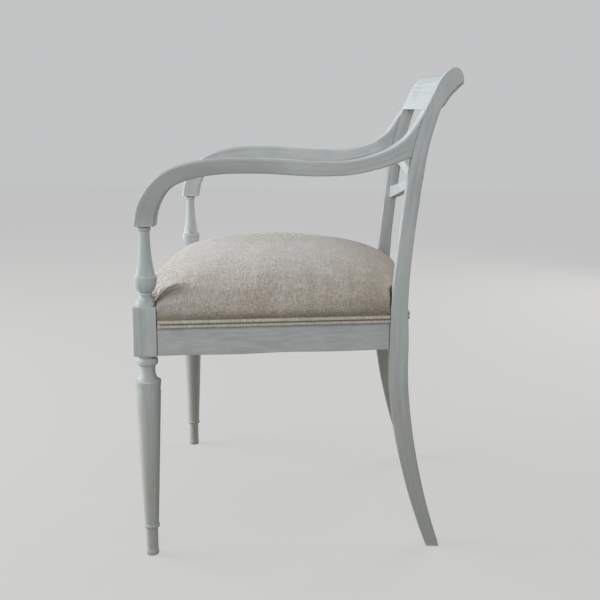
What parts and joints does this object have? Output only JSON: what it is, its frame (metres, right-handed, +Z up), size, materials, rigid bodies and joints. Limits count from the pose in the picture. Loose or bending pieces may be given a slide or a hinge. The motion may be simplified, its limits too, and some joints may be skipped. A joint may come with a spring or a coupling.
{
  "type": "open armchair",
  "caption": "Open armchair with turned front legs, swept rear legs, scrolled arms, a saltire back and a stuffed cloth seat edged with double piping.",
  "frame": {"origin": "on the floor, under the middle of the chair's box", "axes": "+Z up, the chair faces -Y, the sitter's left is +X"},
  "size_m": [0.5414, 0.5438, 0.797],
  "materials": {
    "painted_wood": "thin chalky grey-green paint over wood, brushed and worn at the arrises",
    "bare_wood": "bare sawn wood",
    "screw_steel": "plain dull steel",
    "jute_webbing": "coarse herringbone jute",
    "hessian_cloth": "open plain-weave hessian",
    "hair_padding": "teased hair under calico",
    "linen": "coarse undyed linen with slubs",
    "piping_linen": "double piping in pale linen"
  },
  "bodies": {
    "root": {"front_leg_left": "painted_wood", "front_leg_right": "painted_wood", "rear_leg_left": "painted_wood", "rear_leg_right": "painted_wood", "arm_left": "painted_wood", "arm_right": "painted_wood", "side_rail_left": "painted_wood", "side_rail_right": "painted_wood", "front_rail": "painted_wood", "back_rail": "painted_wood", "crest_rail": "painted_wood", "cross_bar_rising": "painted_wood", "cross_bar_falling": "painted_wood", "corner_block_front_left": "bare_wood", "corner_block_front_right": "bare_wood", "corner_block_rear_left": "bare_wood", "corner_block_rear_right": "bare_wood", "corner_screw_front_left": "screw_steel", "corner_screw_front_right": "screw_steel", "corner_screw_rear_left": "screw_steel", "corner_screw_rear_right": "screw_steel", "webbing_lengthwise_1": "jute_webbing", "webbing_lengthwise_2": "jute_webbing", "webbing_lengthwise_3": "jute_webbing", "webbing_lengthwise_4": "jute_webbing", "webbing_lengthwise_5": "jute_webbing", "webbing_crosswise_1": "jute_webbing", "webbing_crosswise_2": "jute_webbing", "webbing_crosswise_3": "jute_webbing", "webbing_crosswise_4": "jute_webbing", "hessian": "hessian_cloth", "seat_padding": "hair_padding", "seat_cover": "linen", "piping_front": "piping_linen", "piping_back": "piping_linen", "piping_side_left": "piping_linen", "piping_side_right": "piping_linen"}
  },
  "joints": []
}
